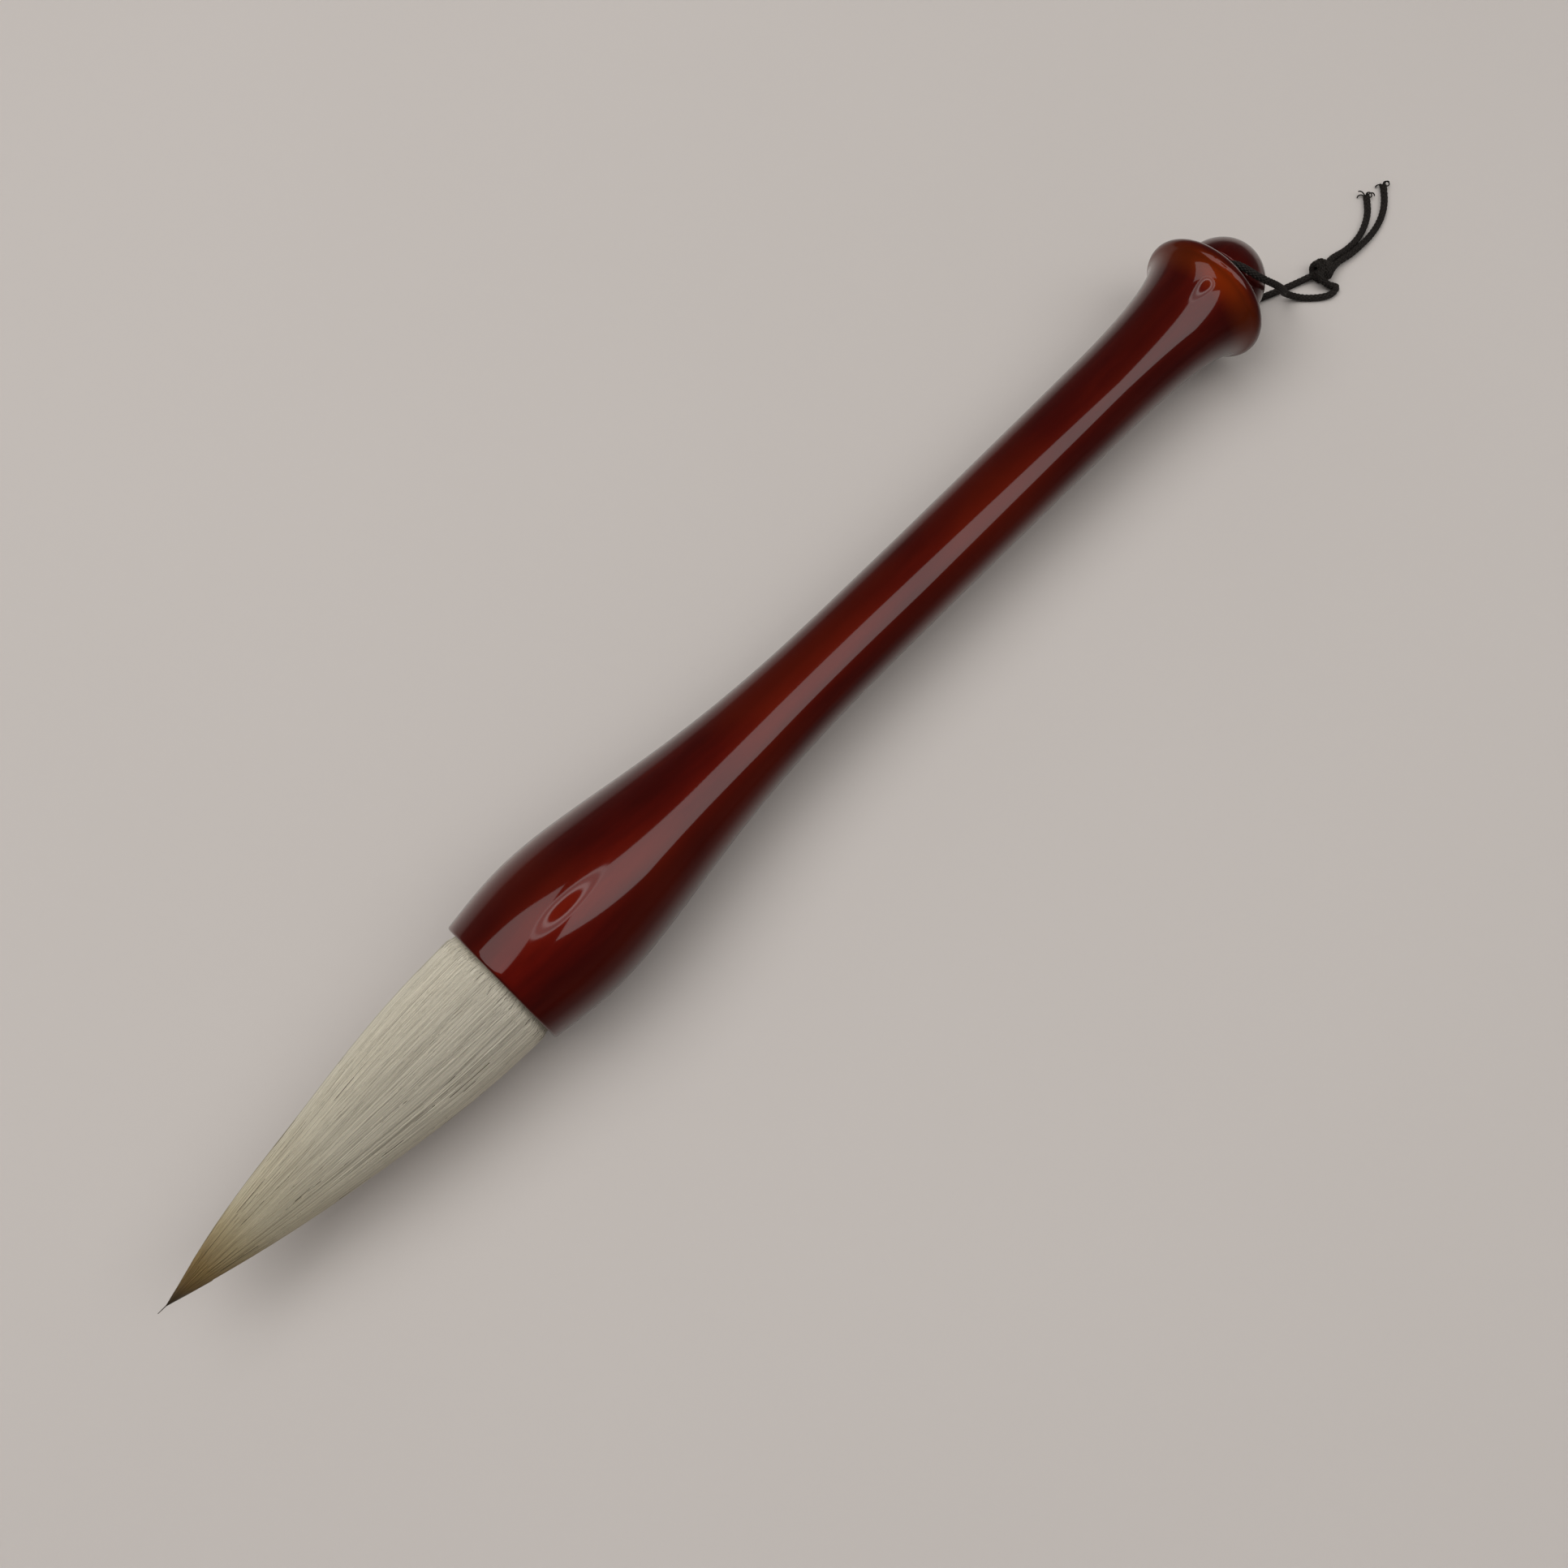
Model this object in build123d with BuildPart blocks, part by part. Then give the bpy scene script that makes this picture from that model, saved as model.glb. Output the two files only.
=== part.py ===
from build123d import *
import os
from math import cos, radians, sin

# Large-belly calligraphy brush, lying on its side.
# Frame: the origin is the centre of the handle's mouth, where the hair leaves the wood.
# +X runs along the axis to the hanging end, the hair points along -X, and +Z is up.
# All lengths are in millimetres.

# --- driving dimensions: handle ---
handle_length = 189.1  # mouth to the top of the end knob
socket_r = 10.5  # the 21 mm bore that sets the brush's size
socket_depth = 24.4
mouth_r = 12.4
mouth_edge_r = 0.5
bulb_x = 12.0  # station of the widest ring of the bulb
bulb_r = 13.72
waist_x = 88.0
waist_r = 7.56
flare_start = (148.0, 7.85)  # the trumpet-shaped flare runs from here to the lip
flare_start_reach = 8.0  # how far each end's slope carries into the flare
flare_end_reach = 4.6
lip_x = 176.3  # centre of the rounded lip at the flare's end
lip_r = 12.6
lip_round = 1.7
lip_under_angle = 140.0  # where the flare runs into the lip, degrees from +X
lip_top_angle = 10.0
end_face_x = 178.2
end_face_r = 6.5

# --- driving dimensions: end knob ---
tenon_r = 2.5
tenon_length = 7.6
glue_gap = 0.2
glue_clearance = 0.02
neck_r = 4.2
groove_width = 2.2
knob_r = 8.2
knob_x = 180.9  # station of the knob's widest ring
knob_under_r = 7.4
cord_hole_r = 0.8

# --- driving dimensions: tuft ---
hair_length = 70.0
hair_r = 11.0  # just outside the mouth, where the hair swells past the bore
root_r = 10.1
root_depth = 21.0
layer_gap = 0.06
core_width = 0.42  # share of the tuft's radius that each inner layer fills
core_reach = 0.975  # share of the tuft's length that each inner layer reaches
lining_width = 0.76
lining_reach = 0.72
rosin_thickness = 2.8
thread_r = 0.25
thread_turns = 8
thread_x = 15.0

# The tuft bends at two places. Its segments meet on balls round those two centres.
bend_x = -2.0
bend_ball_r = 12.3
tip_bend_x = -36.0
tip_ball_r = 9.2
ball_gap = 0.08

# --- driving dimensions: hanging cord ---
cord_r = 0.7
knot_centre = (203.9, -9.8, -10.45)
knot_width_r = 2.45
knot_height_r = 2.0
knot_ball_r = 2.6  # the cord's segments stop on a ball round the knot

os.makedirs("parts", exist_ok=True)


def save(part, name):
    """Label a finished piece and write it under its own name."""
    part.label = name
    export_step(part, f"parts/{name}.step")


# ---------------------------------------------------------------- handle
cord_x = end_face_x + groove_width / 2
lip_centre = (lip_x, lip_r - lip_round)
lip_start = (
    lip_centre[0] + lip_round * cos(radians(lip_under_angle)),
    lip_centre[1] + lip_round * sin(radians(lip_under_angle)),
)
flare_end_pull = (
    lip_start[0] - flare_end_reach * sin(radians(lip_under_angle)),
    lip_start[1] + flare_end_reach * cos(radians(lip_under_angle)),
)
tenon_bore_r = tenon_r + glue_gap
tenon_bore_x = end_face_x - tenon_length - glue_gap

with BuildPart() as handle_body:
    with BuildSketch(Plane.XY) as handle_section:
        with BuildLine():
            mouth = Polyline((socket_depth, 0), (socket_depth, socket_r), (0, socket_r), (0, mouth_r))
            shaft = Spline(
                mouth @ 1,
                (bulb_x, bulb_r),
                (28, 12.4),
                (45, 9.87),
                (62, 8.22),
                (waist_x, waist_r),
                (120, 7.62),
                flare_start,
            )
            flare_start_pull = shaft @ 1 + flare_start_reach * (shaft % 1)
            Bezier(flare_start, flare_start_pull, flare_end_pull, lip_start)
            lip = CenterArc(lip_centre, lip_round, lip_under_angle, lip_top_angle - lip_under_angle)
            Polyline(
                lip @ 1,
                (end_face_x, end_face_r),
                (end_face_x, tenon_bore_r),
                (tenon_bore_x, tenon_bore_r),
                (tenon_bore_x, 0),
                (socket_depth, 0),
            )
        make_face()
        fillet(handle_section.vertices().group_by(Axis.X)[0], radius=mouth_edge_r)
    revolve(axis=Axis.X)
save(handle_body.part, "handle_body")

# ---------------------------------------------------------------- end knob
neck_x = end_face_x + glue_clearance
knob_under_x = end_face_x + groove_width

with BuildPart() as end_knob:
    with BuildSketch(Plane.XY):
        with BuildLine():
            stem = Polyline(
                (end_face_x - tenon_length, 0),
                (end_face_x - tenon_length, tenon_r),
                (neck_x, tenon_r),
                (neck_x, neck_r),
                (knob_under_x, neck_r),
                (knob_under_x, knob_under_r),
            )
            dome = EllipticalCenterArc(
                (knob_x, 0), handle_length - knob_x, knob_r, start_angle=0, arc_size=90
            )
            Spline(stem @ 1, dome @ 1, tangents=[(0, 1), (1, 0)])
            Line(dome @ 0, stem @ 0)
        make_face()
    revolve(axis=Axis.X)
    with Locations((cord_x, 0, 0)):
        Hole(radius=cord_hole_r)
save(end_knob.part, "end_knob")

with BuildPart() as knob_glue:
    with BuildSketch(Plane.XY):
        with BuildLine():
            Polyline(
                (end_face_x, tenon_r + glue_clearance),
                (end_face_x, tenon_bore_r - glue_clearance),
                (tenon_bore_x + glue_clearance, tenon_bore_r - glue_clearance),
                (tenon_bore_x + glue_clearance, 0),
                (end_face_x - tenon_length - glue_clearance, 0),
                (end_face_x - tenon_length - glue_clearance, tenon_r + glue_clearance),
                close=True,
            )
        make_face()
    revolve(axis=Axis.X)
save(knob_glue.part, "knob_glue")


# ---------------------------------------------------------------- tuft sections
def tuft_section(width=1.0, reach=1.0, grow=0.0):
    """Half section of a nested layer of the tuft, filled from the axis outwards."""
    root = root_r * width + grow
    shares = [(0.02, 1.0), (0.21, 0.945), (0.5, 0.693), (0.79, 0.355), (0.945, 0.1)]
    side = [(-hair_length * reach * along, hair_r * width * out + grow) for along, out in shares]
    point = (-hair_length * reach - grow, 0)
    with BuildSketch(Plane.XY) as section:
        with BuildLine():
            Polyline(point, (root_depth, 0), (root_depth, root), (0, root), side[0])
            Spline(*side, point)
        make_face()
    return section.sketch


def ball_section(x, radius):
    """Section of a ball whose centre is on the axis."""
    with BuildSketch(Plane.XY) as ball:
        with Locations((x, 0)):
            Circle(radius)
    return ball.sketch


def beyond_section(x, ball):
    """Section of everything on the tip's side of a station, outside that station's ball."""
    span = 3 * hair_length
    with BuildSketch(Plane.XY) as beyond:
        with Locations((x - span / 2, 0)):
            Rectangle(span, span)
        add(ball, mode=Mode.SUBTRACT)
    return beyond.sketch


def hair_segment(section, zone, removed):
    """A layer's section kept inside a zone (or whole), without what is removed, turned round X."""
    with BuildPart() as segment:
        with BuildSketch(Plane.XY):
            add(section)
            if zone:
                add(zone, mode=Mode.INTERSECT)
            add(removed, mode=Mode.SUBTRACT)
        revolve(axis=Axis.X)
    return segment.part


core_section = tuft_section(core_width, core_reach)
core_bore = tuft_section(core_width, core_reach, layer_gap)
lining_section = tuft_section(lining_width, lining_reach)
lining_bore = tuft_section(lining_width, lining_reach, layer_gap)
cover_section = tuft_section()

# What moves at each bend, and the same zone grown by the gap that the fixed side leaves free.
belly_zone = beyond_section(bend_x, ball_section(bend_x, bend_ball_r))
belly_room = beyond_section(bend_x, ball_section(bend_x, bend_ball_r - ball_gap))
tip_zone = beyond_section(tip_bend_x, ball_section(tip_bend_x, tip_ball_r))
tip_room = beyond_section(tip_bend_x, ball_section(tip_bend_x, tip_ball_r - ball_gap))

# The thread is wound into a waist of the hair, close to its root.
thread_length = 2 * thread_r * thread_turns
thread_out_r = root_r - layer_gap
thread_mid_r = thread_out_r - thread_r
thread_in_r = thread_out_r - 2 * thread_r
with BuildSketch(Plane.XY) as thread_waist:
    with Locations((thread_x + thread_length / 2, root_r)):
        Rectangle(thread_length + 2 * layer_gap, 2 * (root_r - thread_in_r + layer_gap))

save(hair_segment(core_section, None, [belly_room]), "core_hairs_root")
save(hair_segment(core_section, belly_zone, [tip_room]), "core_hairs_belly")
save(hair_segment(core_section, tip_zone, []), "core_hairs_tip")
save(hair_segment(lining_section, None, [core_bore, belly_room]), "lining_hairs_root")
save(hair_segment(lining_section, belly_zone, [core_bore, tip_room]), "lining_hairs_belly")
cover_removed = [core_bore, lining_bore]
save(hair_segment(cover_section, None, cover_removed + [belly_room, thread_waist.sketch]), "cover_hairs_root")
save(hair_segment(cover_section, belly_zone, cover_removed + [tip_room]), "cover_hairs_belly")
save(hair_segment(cover_section, tip_zone, cover_removed), "cover_hairs_tip")

# ---------------------------------------------------------------- what holds the hair
with BuildPart() as binding_thread:
    with BuildSketch(Plane.XY):
        with Locations((thread_x + thread_length / 2, (thread_in_r + thread_mid_r) / 2)):
            Rectangle(thread_length, thread_mid_r - thread_in_r)
        with Locations((thread_x + thread_length / 2, thread_mid_r)):
            with GridLocations(2 * thread_r, 0, thread_turns, 1):
                Circle(thread_r)
    revolve(axis=Axis.X)
save(binding_thread.part, "binding_thread")

with BuildPart() as root_rosin:
    with BuildSketch(Plane.YZ.offset(root_depth + layer_gap)):
        Circle(root_r)
    extrude(amount=rosin_thickness)
save(root_rosin.part, "root_rosin")

socket_glue_x = 2.0
socket_glue_floor = 0.3
with BuildPart() as socket_glue:
    with BuildSketch(Plane.YZ.offset(socket_glue_x)):
        Circle(socket_r - glue_clearance)
        Circle(root_r + layer_gap, mode=Mode.SUBTRACT)
    extrude(amount=socket_depth - glue_clearance - socket_glue_x)
    with BuildSketch(Plane.YZ.offset(socket_depth - glue_clearance)):
        Circle(socket_r - glue_clearance)
    extrude(amount=-socket_glue_floor)
save(socket_glue.part, "socket_glue")

# ---------------------------------------------------------------- hanging cord
knot_x, knot_y, knot_z = knot_centre


def swept_cord(path):
    """Round cord swept along a smooth path, cut back to the ball round the knot."""
    with BuildPart() as cord:
        with BuildSketch(Plane(origin=path @ 0, z_dir=path % 0)):
            Circle(cord_r)
        sweep(path=path)
        with Locations(knot_centre):
            Sphere(knot_ball_r, mode=Mode.SUBTRACT)
    return cord.part


# From the knot round the open side of the loop, up over the knob, straight down the cross
# hole in the neck, and back to the knot underneath.
front_points = [
    (knot_x - 0.3, knot_y - 0.6, knot_z),
    (203.6, -11.6, -11.6),
    (203.9, -13.9, -11.7),
    (200.6, -13.4, -11.75),
    (197.6, -10.6, -11.75),
    (195.0, -8.4, -10.0),
    (191.6, -8.6, -5.2),
    (187.4, -9.3, 0.8),
    (183.6, -8.7, 6.0),
    (180.7, -5.7, 8.85),
    (179.5, -1.9, 9.35),
]
rear_points = [
    (179.8, -0.6, -10.2),
    (183.5, -2.0, -11.85),
    (190.0, -4.2, -11.85),
    (196.0, -6.6, -11.75),
    (201.0, -8.5, -11.5),
    (knot_x - 0.3, knot_y + 0.2, knot_z - 0.4),
]
hole_points = [(cord_x, 0, height) for height in (7.0, 4.2, 1.4, -1.4, -4.2, -7.0)]
with BuildLine() as loop_path:
    Spline(*front_points, *hole_points, *rear_points)
save(swept_cord(loop_path.line), "hanging_cord_loop")

knot_plane = Plane(origin=knot_centre, x_dir=(1, 0, 0), z_dir=(0, -1, 0))
with BuildPart() as hanging_cord_knot:
    with BuildSketch(knot_plane):
        with BuildLine():
            side = ThreePointArc((0, -knot_height_r), (knot_width_r, 0), (0, knot_height_r))
            Line(side @ 1, side @ 0)
        make_face()
    revolve(axis=Axis(knot_centre, (0, 0, 1)))
save(hanging_cord_knot.part, "hanging_cord_knot")

tail_short_points = [
    (knot_x + 1.0, knot_y - 0.1, knot_z),
    (208.6, -9.4, -11.3),
    (212.0, -9.85, -11.65),
    (216.6, -9.45, -11.6),
    (220.9, -7.9, -11.6),
    (224.0, -5.35, -11.55),
]
with BuildLine() as tail_short_path:
    Spline(*tail_short_points)
save(swept_cord(tail_short_path.line), "cord_tail_short")

tail_long_points = [
    (knot_x + 1.0, knot_y - 1.5, knot_z),
    (208.2, -11.0, -11.3),
    (212.0, -11.5, -11.65),
    (217.4, -11.5, -11.6),
    (222.8, -10.2, -11.55),
    (226.4, -7.9, -11.5),
    (228.2, -6.2, -11.5),
]
with BuildLine() as tail_long_path:
    Spline(*tail_long_points)
save(swept_cord(tail_long_path.line), "cord_tail_long")
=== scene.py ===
import math

import bpy
import numpy as np
from mathutils import Matrix, Vector


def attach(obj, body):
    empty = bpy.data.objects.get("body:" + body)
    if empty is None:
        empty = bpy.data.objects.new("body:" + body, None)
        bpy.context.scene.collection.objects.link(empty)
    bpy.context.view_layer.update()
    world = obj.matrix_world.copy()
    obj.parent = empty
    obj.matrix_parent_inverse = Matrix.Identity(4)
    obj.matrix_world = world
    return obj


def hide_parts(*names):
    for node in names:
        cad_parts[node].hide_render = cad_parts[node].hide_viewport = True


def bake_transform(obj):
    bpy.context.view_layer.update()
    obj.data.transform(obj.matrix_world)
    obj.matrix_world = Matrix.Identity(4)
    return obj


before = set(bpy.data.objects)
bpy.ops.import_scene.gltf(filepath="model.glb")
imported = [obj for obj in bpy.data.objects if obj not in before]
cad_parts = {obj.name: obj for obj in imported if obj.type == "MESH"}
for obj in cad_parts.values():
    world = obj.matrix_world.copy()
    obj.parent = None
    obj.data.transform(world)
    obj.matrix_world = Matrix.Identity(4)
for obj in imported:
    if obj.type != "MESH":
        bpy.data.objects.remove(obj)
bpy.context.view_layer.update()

# A large-belly calligraphy brush lying on a pale table.
# Shapes are worked out in millimetres in the row frame: the origin is the centre of the handle's
# mouth, +X runs to the hanging end, the hair points along -X, and +Z is up.
MM = 0.001

# --- tuft ---
HAIR_LENGTH = 70.0
HAIR_RADIUS = 11.0
ROOT_RADIUS = 10.1
ROOT_DEPTH = 21.0
# (station, share of the full radius) from the free hair through the mouth to the tied root
DRAWN_IN = [(-1.4, 1.0), (-0.12, 0.962), (0.1, 0.94), (3.0, ROOT_RADIUS / HAIR_RADIUS)]
LAYER_SEED = 11
STRAND_GROUPS, STRANDS_PER_GROUP = 4, 1500
# (share of the hair's length, share of its full radius) along the tuft
TUFT_SHARES = [(0.02, 1.0), (0.21, 0.945), (0.5, 0.693), (0.79, 0.355), (0.945, 0.1), (1.0, 0.0)]
# (cells round the tuft, length of a cell, height) of the ridges along the hair
RIDGES = [(14, 60, 0.05), (60, 34, 0.035), (170, 18, 0.03), (380, 9, 0.03)]
WISP = 1.3  # the last hairs reach this far past the point
TIP_LEAN = 0.5  # the soft point sags this far to +Y, between the stations LEAN_FROM and LEAN_TO
LEAN_FROM, LEAN_TO = -34.0, -62.0
CUT_X = -21.0  # the lower and the upper half of each hair layer meet here, where nothing bends

# --- handle: the same driving points as the CAD outline ---
SOCKET_RADIUS, SOCKET_DEPTH = 10.5, 24.4
MOUTH_EDGE, RIM_RISE = 0.5, 0.05  # rounding of the rim, and how far the shaft widens across it
# (station, radius) from the mouth to where the flare starts
SHAFT = [(0, 12.4), (12, 13.72), (28, 12.4), (45, 9.87),
         (62, 8.22), (88, 7.56), (120, 7.62), (148, 7.85)]
FLARE_START_REACH, FLARE_END_REACH = 8.0, 4.6
LIP_X, LIP_RADIUS, LIP_ROUND = 176.3, 12.6, 1.7
LIP_UNDER, LIP_TOP = 140.0, 10.0  # degrees from +X
END_FACE_X, END_FACE_RADIUS = 178.2, 6.5
TENON_BORE_X, TENON_BORE_RADIUS = 170.4, 2.7
AXIS_GAP = 0.5  # the outline starts and ends this far from the axis, and a fan closes it
CRISP_GAP = 0.03  # between a sharp corner and its neighbours
TURNED_SIDES = 144
SHAFT_STEPS, FLARE_STEPS, LIP_STEPS, RIM_STEPS = 300, 80, 26, 8  # points along each stretch

# --- hanging cord ---
CORD_RADIUS = 0.7
CORE_RADIUS = 0.46
YARN_RADIUS = 0.19
YARNS_EACH_WAY = 6
YARN_SIDES, CORE_SIDES = 5, 12
BRAID_PITCH = 5.2
CORD_STEP = 0.13  # distance between the points along a cord
FRAY_YARNS, FRAY_RADIUS = 7, 0.13
KNOT = np.array([203.9, -9.8, -10.45])  # the knot's centre
KNOT_AXIS = (0.95, -0.29, -0.12)
KNOT_TURNS, KNOT_LENGTH, KNOT_RADIUS = 2.6, 2.5, 1.75
KNOT_CLOSING, KNOT_FLATTENED = 1.35, 0.82
KNOT_START, KNOT_SWAY = -0.15, 0.35  # in turns, and how far the winding sways along its axis
HOLE_X = 179.3  # the cross hole through the knob's neck

# --- table, camera and ring lamp ---
FLOOR_AT_MOUTH = -13.75  # the table's height under the mouth; the brush rests on bulb and lip
TABLE_HALF = 4000
CAMERA_HEIGHT = 277.7
CAMERA_PITCH = math.radians(16.1)  # off straight down
LENS, SENSOR = 37.7, 36.0
HEADING = math.radians(45.9)  # of the brush in the ground plane
RING_CENTRE, RING_HEIGHT = (20, 150), 990
RING_SIDES = 64
RING_RADII = (132, 140, 165, 185, 225, 240, 262, 268)
RING_GLOW = (1.2, 2.8, 2.8, 1.1, 1.1, 2.2, 2.2, 1.2)  # brightness at each radius
ROOM_GLOW = 0.22  # brightness of the room to the table
CAMERA_GAIN, MIRROR_LOSS = 0.6, 0.17  # added for the camera, taken off in the reflections


# ------------------------------------------------------------------ mesh helpers
def mesh_piece(name, points, quads, tris=None, material=None, attributes=None):
    """A smooth-shaded mesh object from points in millimetres and corner indices."""
    tris = np.zeros((0, 3), int) if tris is None else np.asarray(tris)
    quads = np.asarray(quads).reshape(-1, 4)
    corners = np.concatenate([quads.ravel(), tris.ravel()]).astype(np.int32)
    sizes = np.concatenate([np.full(len(quads), 4), np.full(len(tris), 3)])
    starts = np.concatenate([[0], np.cumsum(sizes)[:-1]]).astype(np.int32)
    mesh = bpy.data.meshes.new(name)
    mesh.vertices.add(len(points))
    mesh.vertices.foreach_set("co", (np.asarray(points) * MM).astype(np.float32).ravel())
    mesh.loops.add(len(corners))
    mesh.loops.foreach_set("vertex_index", corners)
    mesh.polygons.add(len(sizes))
    mesh.polygons.foreach_set("loop_start", starts)
    mesh.polygons.foreach_set("use_smooth", np.ones(len(sizes), bool))
    mesh.update(calc_edges=True)
    for key, values in (attributes or {}).items():
        layer = mesh.attributes.new(key, "FLOAT", "POINT")
        layer.data.foreach_set("value", np.asarray(values, np.float32).ravel())
    if material:
        mesh.materials.append(material)
    piece = bpy.data.objects.new(name, mesh)
    bpy.context.scene.collection.objects.link(piece)
    return piece


def grid_quads(rows, columns):
    """Quads between neighbouring rings of a grid whose columns close round."""
    i, j = np.meshgrid(np.arange(rows - 1), np.arange(columns), indexing="ij")
    k = (j + 1) % columns
    here, after = i * columns, (i + 1) * columns
    return np.stack([here + j, here + k, after + k, after + j], -1).reshape(-1, 4)


def smooth_curve(x, xs, ys):
    """Natural cubic spline through (xs, ys), xs rising, read at x."""
    xs, ys = np.asarray(xs, float), np.asarray(ys, float)
    h = np.diff(xs)
    n = len(xs)
    a = np.eye(n)
    b = np.zeros(n)
    for i in range(1, n - 1):
        a[i, i - 1:i + 2] = h[i - 1], 2 * (h[i - 1] + h[i]), h[i]
        b[i] = 6 * ((ys[i + 1] - ys[i]) / h[i] - (ys[i] - ys[i - 1]) / h[i - 1])
    m = np.linalg.solve(a, b)
    i = np.clip(np.searchsorted(xs, x) - 1, 0, n - 2)
    t0, t1 = xs[i + 1] - x, x - xs[i]
    return ((m[i] * t0 ** 3 + m[i + 1] * t1 ** 3) / (6 * h[i])
            + (ys[i] / h[i] - m[i] * h[i] / 6) * t0 + (ys[i + 1] / h[i] - m[i + 1] * h[i] / 6) * t1)


def value_noise(u, v, columns, seed):
    """Smooth random values from -1 to 1: u runs once round (0 to 1), v counts cells along."""
    rows = int(np.max(v)) + 3
    cells = np.random.default_rng(seed).uniform(-1, 1, (rows, columns))
    a, b = (u % 1.0) * columns, np.clip(v, 0, rows - 2)
    i, j = np.floor(a).astype(int) % columns, np.floor(b).astype(int)
    s, t = a - np.floor(a), b - np.floor(b)
    s, t = s * s * (3 - 2 * s), t * t * (3 - 2 * t)
    k = (i + 1) % columns
    return ((cells[j, i] * (1 - s) + cells[j, k] * s) * (1 - t)
            + (cells[j + 1, i] * (1 - s) + cells[j + 1, k] * s) * t)


def strand_tubes(centres, radii, outward, sides=3):
    """Closed thin tubes along many paths at once. centres and outward are (strands, points, 3)."""
    strands, steps = radii.shape
    along = np.gradient(centres, axis=1)
    along /= np.linalg.norm(along, axis=2, keepdims=True)
    across = np.cross(along, outward)
    across /= np.linalg.norm(across, axis=2, keepdims=True)
    normal = np.cross(along, across)
    turn = np.arange(sides) * 2 * math.pi / sides
    ring = across[:, :, None] * np.cos(turn)[:, None] + normal[:, :, None] * np.sin(turn)[:, None]
    points = centres[:, :, None] + ring * radii[:, :, None, None]
    # The caps have corners of their own.
    points = np.concatenate([points, points[:, :1], points[:, -1:]], axis=1)
    block = (steps + 2) * sides
    first = (np.arange(strands) * block)[:, None, None]
    quads = (grid_quads(steps, sides)[None] + first).reshape(-1, 4)
    near_cap = np.array([(0, i + 1, i) for i in range(1, sides - 1)]) + steps * sides
    far_cap = np.array([(0, i, i + 1) for i in range(1, sides - 1)]) + (steps + 1) * sides
    tris = (np.concatenate([near_cap, far_cap])[None] + first).reshape(-1, 3)
    return points.reshape(-1, 3), quads, tris


def tube_values(values, sides=3):
    """One value for each path point, spread to the corners that strand_tubes makes."""
    full = np.concatenate([values, values[:, :1], values[:, -1:]], axis=1)
    return np.repeat(full.ravel(), sides)


# ------------------------------------------------------------------ material helpers
def material(name):
    """An empty node material with its Principled shader."""
    made = bpy.data.materials.new(name)
    made.use_nodes = True
    return made, made.node_tree.nodes["Principled BSDF"]


def node(owner, kind, **values):
    """A node with its properties and input values set."""
    made = owner.node_tree.nodes.new(kind)
    for key, value in values.items():
        if key in made.inputs:
            made.inputs[key].default_value = value
        else:
            setattr(made, key, value)
    return made


def link(owner, source, target):
    """Joins an output socket to an input socket."""
    owner.node_tree.links.new(source, target)


def settings(shader, **values):
    """Sets a shader's plain inputs; a name's underscores stand for spaces."""
    for key, value in values.items():
        shader.inputs[key.replace("_", " ")].default_value = value


def ramp(owner, factor, stops):
    """A colour ramp of (position, (r, g, b)) stops driven by a socket."""
    made = owner.node_tree.nodes.new("ShaderNodeValToRGB")
    bar = made.color_ramp
    while len(bar.elements) < len(stops):
        bar.elements.new(0.5)
    for element, (position, colour) in zip(bar.elements, stops):
        element.position = position
        element.color = (*colour, 1)
    link(owner, factor, made.inputs["Fac"])
    return made.outputs["Color"]


def mix(owner, factor, a, b, blend="MIX"):
    """Mixes two colours, each a socket or a plain colour."""
    made = owner.node_tree.nodes.new("ShaderNodeMix")
    made.data_type = "RGBA"
    made.blend_type = blend
    for socket, value in ((made.inputs[0], factor), (made.inputs[6], a), (made.inputs[7], b)):
        if isinstance(value, bpy.types.NodeSocket):
            link(owner, value, socket)
        else:
            socket.default_value = value if isinstance(value, float) else (*value, 1)
    return made.outputs[2]


def attribute(owner, name):
    """A mesh attribute as a socket."""
    return node(owner, "ShaderNodeAttribute", attribute_name=name).outputs["Fac"]


def stretched_noise(owner, scale, stretch, detail=3.0, roughness=0.5):
    """Noise in object space, drawn out along X by stretch."""
    place = node(owner, "ShaderNodeTexCoord").outputs["Object"]
    mapping = node(owner, "ShaderNodeMapping", Scale=(1 / stretch, 1, 1))
    link(owner, place, mapping.inputs["Vector"])
    noise = node(owner, "ShaderNodeTexNoise", Scale=scale, Detail=detail, Roughness=roughness)
    link(owner, mapping.outputs["Vector"], noise.inputs["Vector"])
    return noise.outputs["Fac"]


def place_along(owner, axis, start, stop):
    """0 to 1 between two stations (millimetres) on an axis of object space."""
    split = node(owner, "ShaderNodeSeparateXYZ")
    link(owner, node(owner, "ShaderNodeTexCoord").outputs["Object"], split.inputs["Vector"])
    share = node(owner, "ShaderNodeMapRange")
    settings(share, From_Min=start * MM, From_Max=stop * MM)
    link(owner, split.outputs[axis], share.inputs["Value"])
    return share.outputs["Result"]


def bump(owner, shader, height, strength, distance):
    """Small relief from a height socket."""
    made = node(owner, "ShaderNodeBump", Strength=strength, Distance=distance)
    link(owner, height, made.inputs["Height"])
    link(owner, made.outputs["Normal"], shader.inputs["Normal"])


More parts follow.
